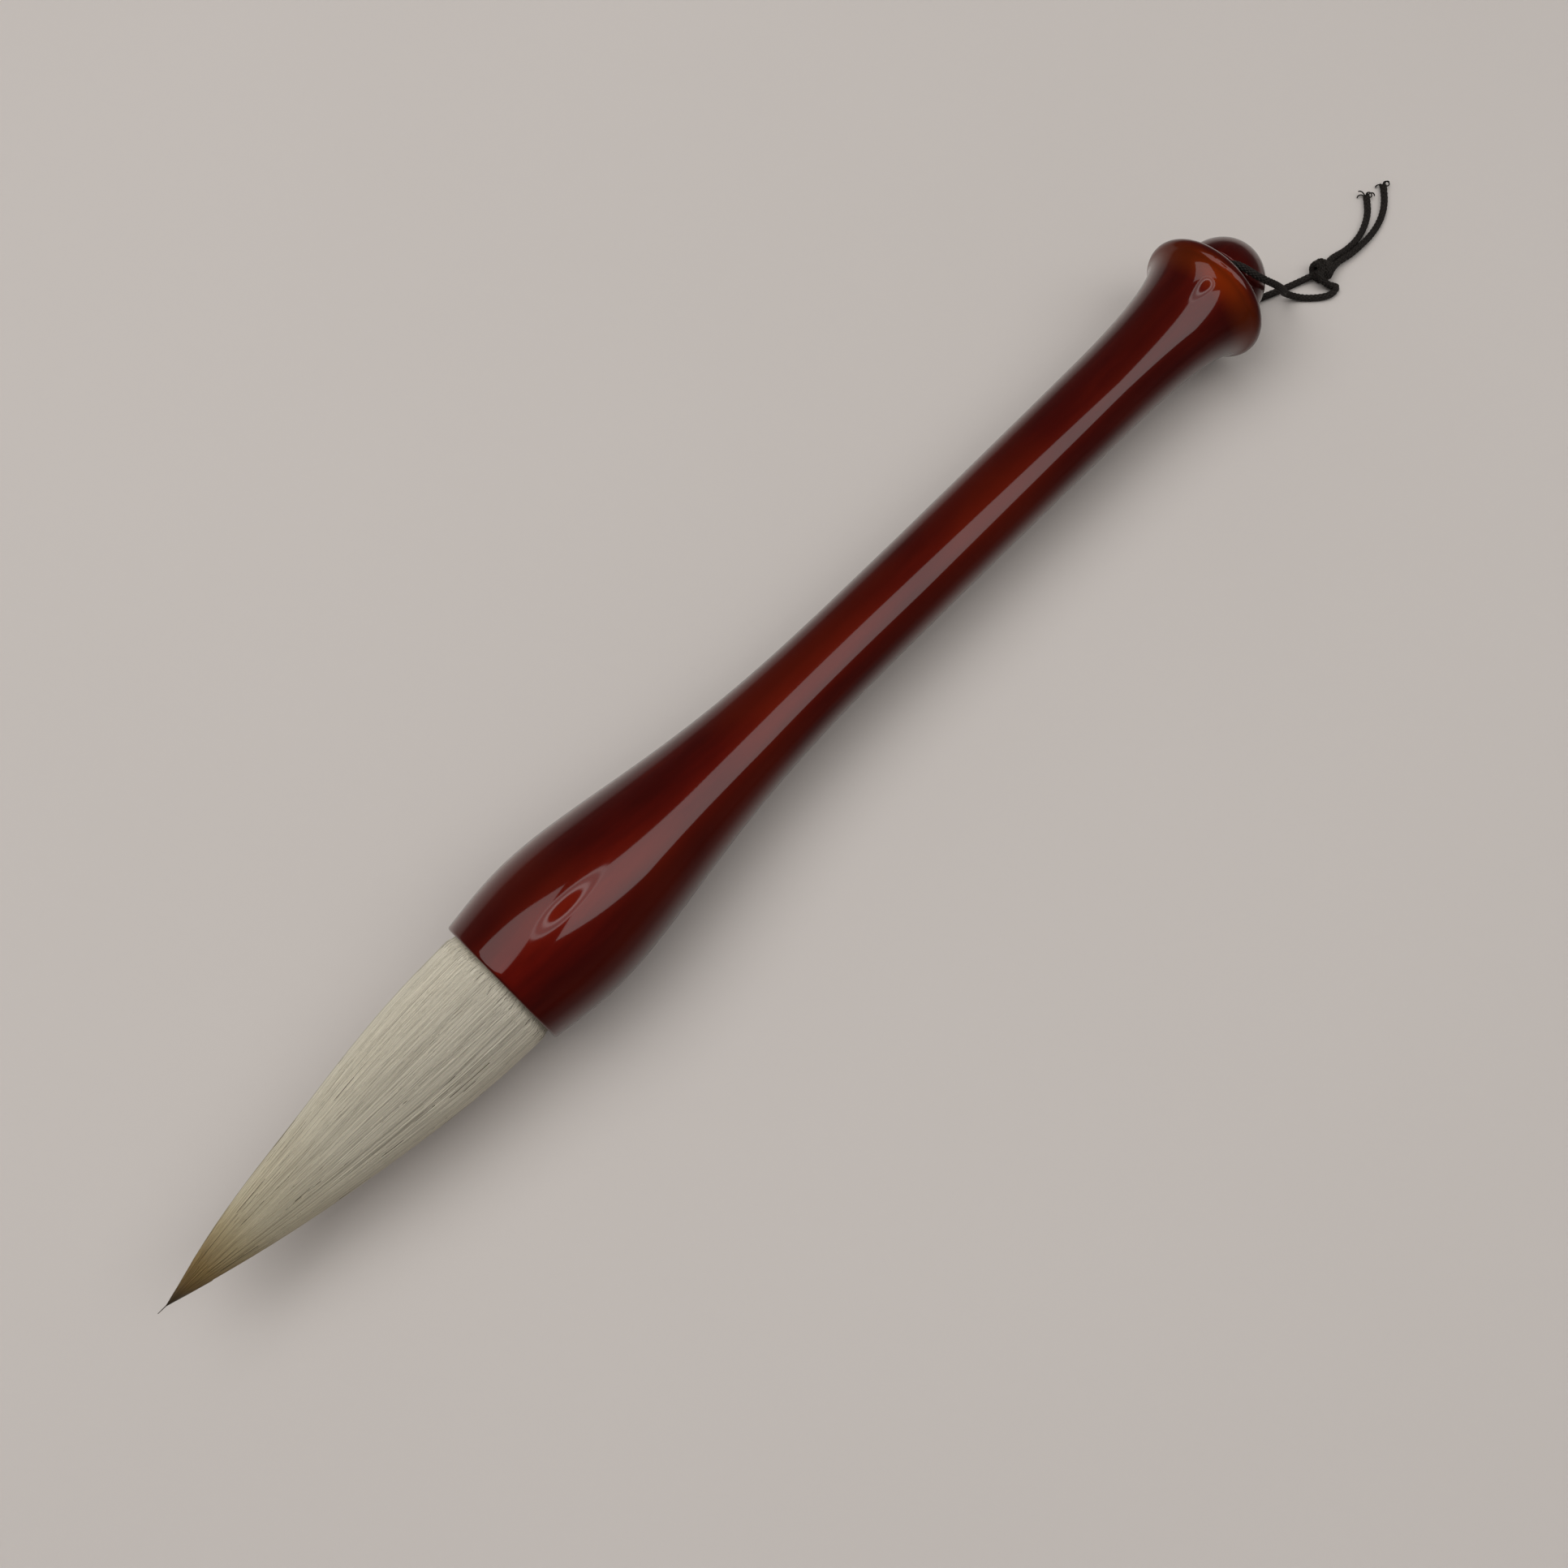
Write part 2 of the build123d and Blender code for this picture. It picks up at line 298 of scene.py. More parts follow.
# ------------------------------------------------------------------ materials
def lacquered_wood():
    """Clear lacquer on red-stained turned wood; the stain is thin and amber at the flare's edge."""
    made, shader = material("lacquered_wood")
    grain = stretched_noise(made, 420, 9, 4.0, 0.6)
    cloud = stretched_noise(made, 70, 2.5, 2.0)
    base = ramp(made, grain, [(0.30, (0.030, 0.0006, 0.0002)), (0.55, (0.041, 0.0010, 0.0003)),
                              (0.80, (0.062, 0.0026, 0.0004))])
    base = mix(made, ramp(made, cloud, [(0.47, (0, 0, 0)), (0.68, (1, 1, 1))]), base,
               (0.060, 0.0032, 0.0003))
    station = place_along(made, "X", 0, 200)
    flare = ramp(made, station, [(0.0, (0, 0, 0)), (0.856, (0, 0, 0)), (0.869, (1, 1, 1)),
                                 (0.877, (1, 1, 1)), (0.882, (0, 0, 0))])
    base = mix(made, flare, base, (0.084, 0.0095, 0.0001))
    # Painted glow: the base colour is painted up to about twice as bright where the surface faces the
    # view, and left plain at a slant.
    slant = node(made, "ShaderNodeLayerWeight", Blend=0.5).outputs["Facing"]
    painted_facing_glow = ramp(made, slant, [(0.0, (2.1, 1.9, 1.7)), (0.07, (1.35, 1.3, 1.2)), (0.16, (1, 1, 1))])
    base = mix(made, 1.0, base, painted_facing_glow, "MULTIPLY")
    link(made, base, shader.inputs["Base Color"])
    # Under the clear coat the stained wood has a broad red glow of its own around each highlight.
    settings(shader, Roughness=0.36, Specular_IOR_Level=0.36, Specular_Tint=(1.0, 0.09, 0.03, 1))
    settings(shader, Coat_Weight=1.0, Coat_Roughness=0.062, Coat_IOR=1.45)
    return made


def hair_material(name, tones, sheen):
    """Goat hair: tones run from the root to the point, and every hair has its own shade; the darkest
    shades include painted shadow.
    """
    made, shader = material(name)
    # The lowest stops paint the dark lines nearly black; for the gaps and nicks this is painted
    # shadow.
    streak_and_painted_shade = ramp(made, attribute(made, "shade"),
                  [(0.0, (0.10, 0.09, 0.07)), (0.05, (0.22, 0.20, 0.17)), (0.15, (0.76, 0.745, 0.72)),
                   (0.5, (0.96, 0.96, 0.955)), (1.0, (1.20, 1.20, 1.20))])
    colour = mix(made, 1.0, ramp(made, attribute(made, "along"), tones), streak_and_painted_shade, "MULTIPLY")
    link(made, colour, shader.inputs["Base Color"])
    settings(shader, Roughness=0.55, Specular_IOR_Level=0.3, Sheen_Weight=sheen)
    return made


def cord_material():
    """Black-brown braided cord with painted shading: each yarn is lighter where it passes over
    another and darker where it passes under.
    """
    made, shader = material("braided_cord")
    fibre = stretched_noise(made, 3500, 1, 2.0)
    shade = attribute(made, "shade")
    colour = ramp(made, fibre, [(0.3, (0.0075, 0.0060, 0.0052)), (0.7, (0.020, 0.0163, 0.0138))])
    # Painted light and shade: a shade of 1 brightens the cord's colour, a shade of 0 darkens it.
    painted_crossing_light = ramp(made, shade, [(0, (0.35, 0.35, 0.35)), (1, (1.5, 1.45, 1.4))])
    link(made, mix(made, 1.0, colour, painted_crossing_light, "MULTIPLY"), shader.inputs["Base Color"])
    settings(shader, Roughness=0.6, Specular_IOR_Level=0.25)
    return made


def mottled(name, low, high, scale, roughness, coat=0.0):
    """A plain stuff with cloudy colour, for glue, rosin and thread."""
    made, shader = material(name)
    cloud = stretched_noise(made, scale, 1, 4.0)
    link(made, ramp(made, cloud, [(0.3, low), (0.7, high)]), shader.inputs["Base Color"])
    settings(shader, Roughness=roughness, Coat_Weight=coat)
    bump(made, shader, cloud, 0.2, 0.1 * MM)
    return made


def table_material():
    """Pale warm-grey table top with very faint clouding."""
    made, shader = material("pale_table")
    cloud = stretched_noise(made, 6, 1, 3.0)
    top = ramp(made, cloud, [(0.3, (0.585, 0.538, 0.503)), (0.7, (0.600, 0.552, 0.517))])
    # Painted reflection shade: to glossy rays the table is painted darker away from the brush, so its
    # mirror image in the lacquer fades out to both sides, sooner on the -Y side.
    levels = ((0.05, 0.06), (0.19, 0.20), (0.235, 0.85), (0.29, 1), (0.34, 0.75),
              (0.6, 0.4), (1.0, 0.1))
    across = place_along(made, "Y", -200, 600)
    fade = ramp(made, across, [(position, (level,) * 3) for position, level in levels])
    mirrored = node(made, "ShaderNodeLightPath").outputs["Is Glossy Ray"]
    seen = mix(made, mirrored, (1.0, 1.0, 1.0), fade)
    link(made, mix(made, 1.0, top, seen, "MULTIPLY"), shader.inputs["Base Color"])
    # Painted glow: far from the brush the table emits light and brightens into the backdrop, for the
    # camera only.
    distance = node(made, "ShaderNodeVectorMath", operation="LENGTH")
    link(made, node(made, "ShaderNodeTexCoord").outputs["Object"], distance.inputs[0])
    far = node(made, "ShaderNodeMapRange", interpolation_type="SMOOTHSTEP")
    settings(far, From_Min=300 * MM, From_Max=3200 * MM, To_Max=0.62)
    link(made, distance.outputs["Value"], far.inputs["Value"])
    glow = node(made, "ShaderNodeMath", operation="MULTIPLY")
    link(made, far.outputs["Result"], glow.inputs[0])
    link(made, node(made, "ShaderNodeLightPath").outputs["Is Camera Ray"], glow.inputs[1])
    link(made, glow.outputs["Value"], shader.inputs["Emission Strength"])
    settings(shader, Emission_Color=(1.0, 0.98, 0.96, 1), Roughness=0.7, Specular_IOR_Level=0.2)
    return made


def lamp_material(name):
    """Light whose brightness is the mesh attribute glow."""
    made, shader = material(name)
    settings(shader, Base_Color=(0, 0, 0, 1), Emission_Color=(1, 1, 1, 1))
    link(made, attribute(made, "glow"), shader.inputs["Emission Strength"])
    return made


# ------------------------------------------------------------------ tuft
def layer_radius(x, width, reach):
    """Radius of a hair layer at a station: drawn in at the mouth, then full, then tapering."""
    xs = [-HAIR_LENGTH * reach * share for share, _ in TUFT_SHARES][::-1]
    rs = [HAIR_RADIUS * width * share for _, share in TUFT_SHARES][::-1]
    outside = smooth_curve(np.clip(x, xs[0], xs[-1]), xs, rs)
    return np.maximum(outside * np.interp(x, *zip(*DRAWN_IN)), 0.03)


def lean(x):
    """How far the tuft's middle has sagged sideways at a station."""
    t = np.clip((LEAN_FROM - x) / (LEAN_FROM - LEAN_TO), 0, 1)
    return TIP_LEAN * t * t * (3 - 2 * t)


def streaks(turn, x, seed):
    """Fine ridges that run along the hair, in millimetres."""
    height = np.zeros(np.broadcast(turn, x).shape)
    v = (ROOT_DEPTH + 5 - x) + 0 * turn
    u = turn / (2 * math.pi) + 0 * x
    for around, cell, size in RIDGES:
        height += size * value_noise(u, v / cell, around, seed + around)
    return height


def lying_height(turn, x, width, reach):
    """How far out from the axis the surface of a hair layer is, with its ridges."""
    base = layer_radius(x, width, reach)
    fade = np.clip(base / HAIR_RADIUS, 0, 1) * np.clip(-x / 3, 0, 1)
    return base - 0.06 + streaks(turn, x, LAYER_SEED) * fade


def hair_body(name, width, reach, stations, around, made):
    """Solid mass of one layer between two stations, ridged along the hair."""
    turn = np.arange(around)[None] * 2 * math.pi / around
    x = stations[:, None]
    radius = np.maximum(lying_height(turn, x, width, reach), 0.02)
    points = np.stack([x + 0 * radius, radius * np.cos(turn) + lean(x), radius * np.sin(turn)], -1)
    rows = len(stations)
    along = np.clip(-x / HAIR_LENGTH, 0, 1) + 0 * radius
    # Painted shade: the colour follows the ridges, lighter on them and darker in the grooves between
    # them.
    shade = 0.45 + streaks(turn, x, LAYER_SEED) * 2.0
    ends = []
    for row, order in ((0, -1), (rows - 1, 1)):
        first = rows * around + len(ends) * (around + 1)
        j = np.arange(around)
        fan = np.stack([np.full(around, first + around), first + (j + 1) % around, first + j], -1)
        rim = np.concatenate([points[row], [[stations[row], lean(stations[row]), 0]]])
        rim_along = np.append(along[row], along[row, 0])
        rim_shade = np.append(shade[row], 0.5)
        ends.append((fan[:, ::order], rim, rim_along, rim_shade))
    fans, rims, rims_along, rims_shade = (np.concatenate(part) for part in zip(*ends))
    quads = grid_quads(rows, around)[:, ::-1]  # the stations run along -X
    points = np.concatenate([points.reshape(-1, 3), rims])
    values = {"along": np.append(along.ravel(), rims_along),
              "shade": np.append(shade.ravel(), rims_shade)}
    return mesh_piece(name, points, quads, fans, made, values)


def cover_strands(count, seed):
    """Long hairs from the mouth, ending one after another so that the tuft stays evenly covered."""
    rng = np.random.default_rng(seed)
    stations = np.linspace(0, -HAIR_LENGTH, 200)
    share_left = (layer_radius(stations, 1.0, 1.0) / HAIR_RADIUS) ** 0.55
    return {
        "turn": rng.uniform(0, 2 * math.pi, count),
        "start": rng.uniform(0.4, 1.6, count),
        "end": np.interp(rng.random(count), share_left[::-1], stations[::-1]),
        "wander": rng.normal(0, 0.022, count),
        "proud": rng.normal(0.0, 0.03, count),
        "thick": rng.uniform(0.032, 0.056, count),
        "shade": np.clip(rng.normal(0.5, 0.27, count), 0.12, 1),
    }


def single_hairs(count, seed, starts, lengths, thick, shade):
    """Separate lines on the cover, each value drawn between two limits."""
    rng = np.random.default_rng(seed)
    start = rng.uniform(*starts, count)
    return {
        "turn": rng.uniform(0, 2 * math.pi, count),
        "start": start,
        "end": start - rng.uniform(*lengths, count),
        "wander": rng.normal(0, 0.01, count),
        "proud": rng.uniform(0.02, 0.045, count),
        "thick": rng.uniform(*thick, count),
        "shade": rng.uniform(*shade, count),
    }


def joined(*sets):
    """Several sets of hairs as one."""
    return {key: np.concatenate([one[key] for one in sets]) for key in sets[0]}


# where each half of the tuft's hairs starts and ends, and the number of points along them
HALVES = {"lower": (5.0, CUT_X, 12), "upper": (CUT_X, -HAIR_LENGTH - WISP, 18)}
HAIR_VALUES = ("turn", "start", "end", "wander", "proud", "thick", "shade")


def hair_strands(name, hairs, half, made):
    """Hairs lying on the cover layer: the part of each that is in one half of the tuft."""
    near, far, steps = HALVES[half]
    begin = np.clip(hairs["start"], far, near)
    stop = np.clip(hairs["end"], far, near)
    here = begin - stop > 0.2
    begin, stop = begin[here, None], stop[here, None]
    turn0, start, end, wander, proud, thick, shade = (
        hairs[key][here, None] for key in HAIR_VALUES)
    x = begin + (stop - begin) * np.linspace(0, 1, steps)
    share = np.clip((start - x) / (start - end), 0, 1)
    turn = turn0 + wander * np.sin(share * 5 + turn0 * 7)
    near_tip = np.clip(layer_radius(x, 1.0, 1.0) / 2.5, 0.12, 1)
    sunk = np.clip((share - 0.9) / 0.1, 0, 1) * 0.05
    radius = lying_height(turn, x, 1.0, 1.0) + proud * near_tip - sunk
    out = np.stack([0 * x, np.cos(turn), np.sin(turn)], -1)
    centres = out * radius[..., None]
    centres[..., 0] = x
    centres[..., 1] += lean(x)
    taper = np.clip((1 - share) / 0.22, 0.08, 1) ** 0.8
    points, quads, tris = strand_tubes(centres, thick * taper * near_tip ** 0.5, out)
    return mesh_piece(f"{name}_{half}", points, quads, tris, made,
                      {"along": tube_values(np.clip(-x / HAIR_LENGTH, 0, 1)),
                       "shade": tube_values(np.broadcast_to(shade, x.shape))})


def bend_between(piece):
    """Bakes the piece's placement into its mesh; the piece does not bend."""
    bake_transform(piece)


def bend_halves(lower, upper):
    """Bakes the placement of both halves into their meshes; neither half bends."""
    bend_between(lower)
    bend_between(upper)


# (share of the way from the mouth to the point, colour)
# The first stop is painted shade: the cover is darker for its first 0.014 of the way, where the hair
# comes out of the mouth.
COVER_TONES = [(0.0, (0.40, 0.35, 0.26)), (0.014, (0.645, 0.595, 0.490)),
               (0.50, (0.590, 0.540, 0.430)), (0.72, (0.520, 0.460, 0.330)),
               (0.80, (0.410, 0.335, 0.195)), (0.88, (0.270, 0.185, 0.075)),
               (0.93, (0.170, 0.105, 0.038)), (0.96, (0.090, 0.058, 0.026)),
               (1.0, (0.035, 0.025, 0.016))]
LINING_TONES = [(0.0, (0.58, 0.52, 0.40)), (0.9, (0.50, 0.42, 0.28))]
CORE_TONES = [(0.0, (0.45, 0.33, 0.16)), (0.75, (0.30, 0.20, 0.08)), (1.0, (0.035, 0.025, 0.016))]
cover_hair = hair_material("cover_hair", COVER_TONES, 0.0)
lining_hair = hair_material("lining_hair", LINING_TONES, 0.1)
core_hair = hair_material("core_hair", CORE_TONES, 0.1)

# count, seed, where they start, how long they are, their thickness and their shade
LINES = (
    (95, 7, (-56, -3), (3, 10), (0.04, 0.075), (0, 0.05)),  # painted shadow: dark lines in the gaps where the cover parts
    (40, 8, (-0.3, 0.0), (1.5, 4.5), (0.032, 0.055), (0.01, 0.09)),  # painted shadow: dark nicks at the mouth
    (60, 12, (-54, -34), (4, 10), (0.035, 0.06), (0.02, 0.09)),  # dark lines near the tapering end
    (150, 9, (-58, -6), (3, 9), (0.035, 0.055), (0.9, 1.0)),  # pale hairs that catch the light
    (16, 10, (-64, -60), (9.0, 10.5), (0.14, 0.2), (0.3, 0.5)),  # the wisp at the very point
)

# name, share of the full width, share of the length, points round it, step along it, material
LAYERS = (
    ("cover", 1.0, 1.0, 480, 0.6, cover_hair),
    ("lining", 0.76, 0.72, 240, 1.0, lining_hair),
    ("core", 0.42, 0.975, 160, 1.0, core_hair),
)
# stations from the root to the mouth, close together where the hair comes out
ROOT_STATIONS = np.array([ROOT_DEPTH, 12.0, 3.0, 0.8, 0.1, -0.12, -0.5, -1.0])
for layer, width, reach, around, step, made in LAYERS:
    tip = -HAIR_LENGTH * reach
    lower_x = np.concatenate([ROOT_STATIONS, np.arange(-1.5, CUT_X + step / 2, -step), [CUT_X]])
    upper_x = np.concatenate([np.arange(CUT_X, tip + 0.2, -step), [tip + 0.15, tip]])
    lower = hair_body(f"{layer}_hairs_lower", width, reach, lower_x, around, made)
    upper = hair_body(f"{layer}_hairs_upper", width, reach, upper_x, around, made)
    bend_halves(lower, upper)
    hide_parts(f"{layer}_hairs_root", f"{layer}_hairs_belly")
    if layer != "lining":
        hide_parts(f"{layer}_hairs_tip")
for group in range(STRAND_GROUPS):
    hairs = cover_strands(STRANDS_PER_GROUP, 40 + group)
    if group == 0:
        hairs = joined(hairs, *(single_hairs(*line) for line in LINES))
    lower, upper = (
        hair_strands(f"loose_hairs_{group + 1}", hairs, half, cover_hair) for half in HALVES)
    bend_halves(lower, upper)


# ------------------------------------------------------------------ hanging cord
def path_through(points, spacing):
    """Evenly spaced points on a smooth curve through the given points, in millimetres."""
    points = np.asarray(points, float)
    gaps = np.linalg.norm(np.diff(points, axis=0), axis=1)
    s = np.concatenate([[0], np.cumsum(gaps)])
    fine = np.linspace(0, s[-1], 1500)
    curve = np.stack([smooth_curve(fine, s, points[:, i]) for i in range(3)], -1)
    length = np.concatenate([[0], np.cumsum(np.linalg.norm(np.diff(curve, axis=0), axis=1))])
    even = np.linspace(0, length[-1], max(int(length[-1] / spacing), 8))
    return np.stack([np.interp(even, length, curve[:, i]) for i in range(3)], -1)


def frames_along(path):
    """Two directions across a path at each point, carried along without twisting."""
    along = np.gradient(path, axis=0)
    along /= np.linalg.norm(along, axis=1, keepdims=True)
    side = np.zeros_like(path)
    start = np.cross(along[0], (0, 0, 1.0))
    side[0] = start / np.linalg.norm(start)
    for i in range(1, len(path)):
        carried = side[i - 1] - along[i] * (side[i - 1] @ along[i])
        side[i] = carried / np.linalg.norm(carried)
    return side, np.cross(along, side)


def braid(name, path, made):
    """Round braid along a path: yarns wind both ways and pass over and under each other."""
    side, up = frames_along(path)
    wound = 2 * math.pi * np.arange(len(path)) * np.linalg.norm(path[1] - path[0]) / BRAID_PITCH
    centres, painted_crossing_shades = [], []
    for way in (1, -1):
        height = way * np.cos(YARNS_EACH_WAY * wound)
        r = CORD_RADIUS - YARN_RADIUS * (1.45 - 0.45 * height)
        for k in range(YARNS_EACH_WAY):
            turn = way * wound + 2 * math.pi * k / YARNS_EACH_WAY
            across = side * np.cos(turn)[:, None] + up * np.sin(turn)[:, None]
            centres.append(path + across * r[:, None])
            # Painted shade: lighter where the yarn passes over, darker where it passes under.
            painted_crossing_shades.append(0.5 + 0.5 * height)
    centres = np.stack(centres)
    outward = centres - path[None]
    radii = np.full(centres.shape[:2], YARN_RADIUS)
    points, quads, tris = strand_tubes(centres, radii, outward, YARN_SIDES)
    painted_crossing_tone = tube_values(np.stack(painted_crossing_shades), YARN_SIDES)
    return mesh_piece(name, points, quads, tris, made, {"shade": painted_crossing_tone})


def braid_core(name, path, made):
    """The dark filling inside a braid: its shade of zero gives it the cord's darkest tone, painted
    shade where it shows between the yarns.
    """
    side, _ = frames_along(path)
    radii = np.full((1, len(path)), CORE_RADIUS)
    points, quads, tris = strand_tubes(path[None], radii, side[None], CORE_SIDES)
    return mesh_piece(name, points, quads, tris, made, {"shade": np.zeros(len(points))})


def cord_piece(name, path, body, cad_node, held_by=None):
    """A length of braid with its core, attached to its body. A tail, given held_by, is only baked in
    place and not attached.
    """
    sheath = braid(f"{name}_braid", path, cord)
    for part in (sheath, braid_core(f"{name}_core", path, cord)):
        if held_by:
            bend_between(part)
        else:
            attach(part, body)
    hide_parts(cad_node)


def frayed_end(name, path, body, seed):
    """Loosened yarns that curl out of a cut end; the first one is bent round into a small eye."""
    rng = np.random.default_rng(seed)
    ahead = path[-1] - path[-4]
    ahead /= np.linalg.norm(ahead)
    side = np.cross(ahead, (0, 0, 1.0))
    side /= np.linalg.norm(side)
    up = np.cross(side, ahead)
    s = np.linspace(0, 1, 18)[:, None]
    centres, outward = [], []
    for k in range(FRAY_YARNS):
        angle = 2 * math.pi * k / FRAY_YARNS + rng.uniform(-0.3, 0.3)
        out = side * math.cos(angle) + up * math.sin(angle) * 0.5
        if k == 0:
            length, bend = 3.4, 1.9 * math.pi
            root = path[-1] + ahead * 0.35 + out * CORE_RADIUS * 0.2
        else:
            length, bend = rng.uniform(1.5, 2.6), rng.uniform(0.6, 1.4) * math.pi
            root = path[-1] - ahead * 0.25 + out * CORE_RADIUS * 0.9
        curl = length / bend
        centres.append(root + ahead * curl * np.sin(bend * s) + out * curl * (1 - np.cos(bend * s)))
        outward.append(np.broadcast_to(np.cross(ahead, out), centres[-1].shape))
    centres, outward = np.stack(centres), np.stack(outward)
    radii = np.full(centres.shape[:2], FRAY_RADIUS)
    points, quads, tris = strand_tubes(centres, radii, outward, YARN_SIDES)
    piece = mesh_piece(name, points, quads, tris, cord, {"shade": np.full(len(points), 0.4)})
    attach(piece, body)


def knot_wraps():
    """The overhand knot: cord wound round itself, a little flattened, closing in at both ends."""
    s = np.linspace(0, 1, 48)
    turn = (s * KNOT_TURNS + KNOT_START) * 2 * math.pi
    axis = np.array(KNOT_AXIS)
    axis /= np.linalg.norm(axis)
    a = np.cross(axis, (0, 0, 1.0))
    a /= np.linalg.norm(a)
    b = np.cross(a, axis)
    shift = (s - 0.5) * KNOT_LENGTH + KNOT_SWAY * np.sin(turn)
    r = KNOT_RADIUS - KNOT_CLOSING * (2 * s - 1) ** 4
    wound = a * np.cos(turn)[:, None] + KNOT_FLATTENED * b * np.sin(turn)[:, None]
    return KNOT + axis * shift[:, None] + wound * r[:, None]


cord = cord_material()
# from the top of the knot round the open side, up over the knob, down through its neck and back
LOOP_POINTS = [
    (203.2, -9.6, -9.9), (202.35, -10.3, -9.45), (202.1, -11.2, -9.8), (202.5, -12.1, -10.6),
    (203.3, -12.95, -11.35), (203.95, -13.85, -11.7), (202.9, -14.2, -11.7), (200.6, -13.4, -11.75),
    (197.6, -10.6, -11.75), (195.0, -8.4, -10.0), (191.6, -8.6, -5.2), (187.4, -9.3, 0.8),
    (183.6, -8.7, 6.0), (180.7, -5.7, 8.85), (179.5, -1.9, 9.35),
    (HOLE_X, 0, 7.0), (HOLE_X, 0, 4.2), (HOLE_X, 0, 1.4),
    (HOLE_X, 0, -1.4), (HOLE_X, 0, -4.2), (HOLE_X, 0, -7.0),
    (179.8, -0.6, -10.2), (183.5, -2.0, -11.85), (190.0, -4.2, -11.85), (196.0, -6.6, -11.75),
    (201.0, -8.5, -11.5), (203.6, -9.6, -10.85),
]
SHORT_POINTS = [
    (204.9, -9.9, -10.45), (208.4, -9.45, -11.3), (211.0, -9.95, -11.65), (213.6, -10.2, -11.65),
    (216.0, -10.0, -11.65), (218.8, -9.15, -11.6), (221.5, -7.65, -11.6), (224.0, -5.35, -11.55),
]
LONG_POINTS = [
    (204.9, -11.2, -10.45), (208.0, -10.85, -11.0), (211.0, -11.3, -11.3), (214.0, -11.55, -11.35),
    (217.4, -11.5, -11.55), (222.8, -10.2, -11.55), (226.4, -7.9, -11.5), (228.2, -6.2, -11.5),
]
loop_path, short_path, long_path, knot_path = (
    path_through(points, CORD_STEP)
    for points in (LOOP_POINTS, SHORT_POINTS, LONG_POINTS, knot_wraps()))
cord_piece("cord_loop", loop_path, "cord_loop", "hanging_cord_loop")
cord_piece("short_tail", short_path, "short_tail", "cord_tail_short", "cord_knot")
cord_piece("long_tail", long_path, "long_tail", "cord_tail_long", "cord_knot")
cord_piece("knot", knot_path, "cord_knot", "hanging_cord_knot")
frayed_end("short_tail_fray", short_path, "short_tail", 3)
frayed_end("long_tail_fray", long_path, "long_tail", 5)


# ------------------------------------------------------------------ handle
def arc_points(centre, radius, start, stop, count):
    """Points on an arc, its angles in degrees from +X."""
    angle = np.radians(np.linspace(start, stop, count))
    return np.stack([centre[0] + radius * np.cos(angle), centre[1] + radius * np.sin(angle)], -1)


def bezier_points(ends_and_pulls, count):
    """Points on a cubic curve from its two ends and the two points that pull it."""
    a, b, c, d = (np.array(point, float) for point in ends_and_pulls)
    t = np.linspace(0, 1, count)[:, None]
    return a * (1 - t) ** 3 + 3 * b * (1 - t) ** 2 * t + 3 * c * (1 - t) * t ** 2 + d * t ** 3


def crisp(points):
    """A polyline whose corners stay sharp: each gets a close neighbour on both sides."""
    points = np.asarray(points, float)
    made = [points[0]]
    for before, corner, after in zip(points, points[1:], points[2:]):
        back = (before - corner) / np.linalg.norm(before - corner)
        on = (after - corner) / np.linalg.norm(after - corner)
        made += [corner + back * CRISP_GAP, corner, corner + on * CRISP_GAP]
    return np.array(made + [points[-1]])


def handle_outline():
    """Half section of the handle: socket, mouth, shaft, flare, lip and the tenon's bore."""
    xs, rs = np.array(SHAFT, float).T
    stations = np.linspace(MOUTH_EDGE, xs[-1], SHAFT_STEPS)
    shaft = np.stack([stations, smooth_curve(stations, xs, rs)], -1)
    slope = (shaft[-1] - shaft[-2]) / np.linalg.norm(shaft[-1] - shaft[-2])
    lip_centre = (LIP_X, LIP_RADIUS - LIP_ROUND)
    lip = arc_points(lip_centre, LIP_ROUND, LIP_UNDER, LIP_TOP, LIP_STEPS)
    under = math.radians(LIP_UNDER)
    end_pull = lip[0] + FLARE_END_REACH * np.array([-math.sin(under), math.cos(under)])
    start_pull = shaft[-1] + FLARE_START_REACH * slope
    flare = bezier_points([shaft[-1], start_pull, end_pull, lip[0]], FLARE_STEPS)
    inner_centre = (MOUTH_EDGE, SOCKET_RADIUS + MOUTH_EDGE)
    outer_centre = (MOUTH_EDGE, SHAFT[0][1] - MOUTH_EDGE + RIM_RISE)
    inner_edge = arc_points(inner_centre, MOUTH_EDGE, 270, 180, RIM_STEPS)
    outer_edge = arc_points(outer_centre, MOUTH_EDGE, 180, 104, RIM_STEPS)
    socket = crisp([(SOCKET_DEPTH, AXIS_GAP), (SOCKET_DEPTH, SOCKET_RADIUS), inner_edge[0]])
    bore = crisp([lip[-1], (END_FACE_X, END_FACE_RADIUS), (END_FACE_X, TENON_BORE_RADIUS),
                  (TENON_BORE_X, TENON_BORE_RADIUS), (TENON_BORE_X, AXIS_GAP)])
    return np.concatenate([socket, inner_edge[1:], outer_edge, shaft, flare[1:], lip[1:], bore[1:]])


def revolved(name, outline, around, made):
    """A closed solid from a half section that starts and ends close to the X axis."""
    turn = np.arange(around) * 2 * math.pi / around
    x, r = outline.T[:, :, None]
    points = np.stack([x + 0 * turn, r * np.cos(turn), r * np.sin(turn)], -1).reshape(-1, 3)
    poles = [(outline[0, 0], 0, 0), (outline[-1, 0], 0, 0)]
    j, last = np.arange(around), (len(outline) - 1) * around
    k = (j + 1) % around
    first_fan = np.stack([np.full(around, len(points)), k, j], -1)
    last_fan = np.stack([np.full(around, len(points) + 1), last + j, last + k], -1)
    return mesh_piece(name, np.concatenate([points, poles]), grid_quads(len(outline), around),
                      np.concatenate([first_fan, last_fan]), made)


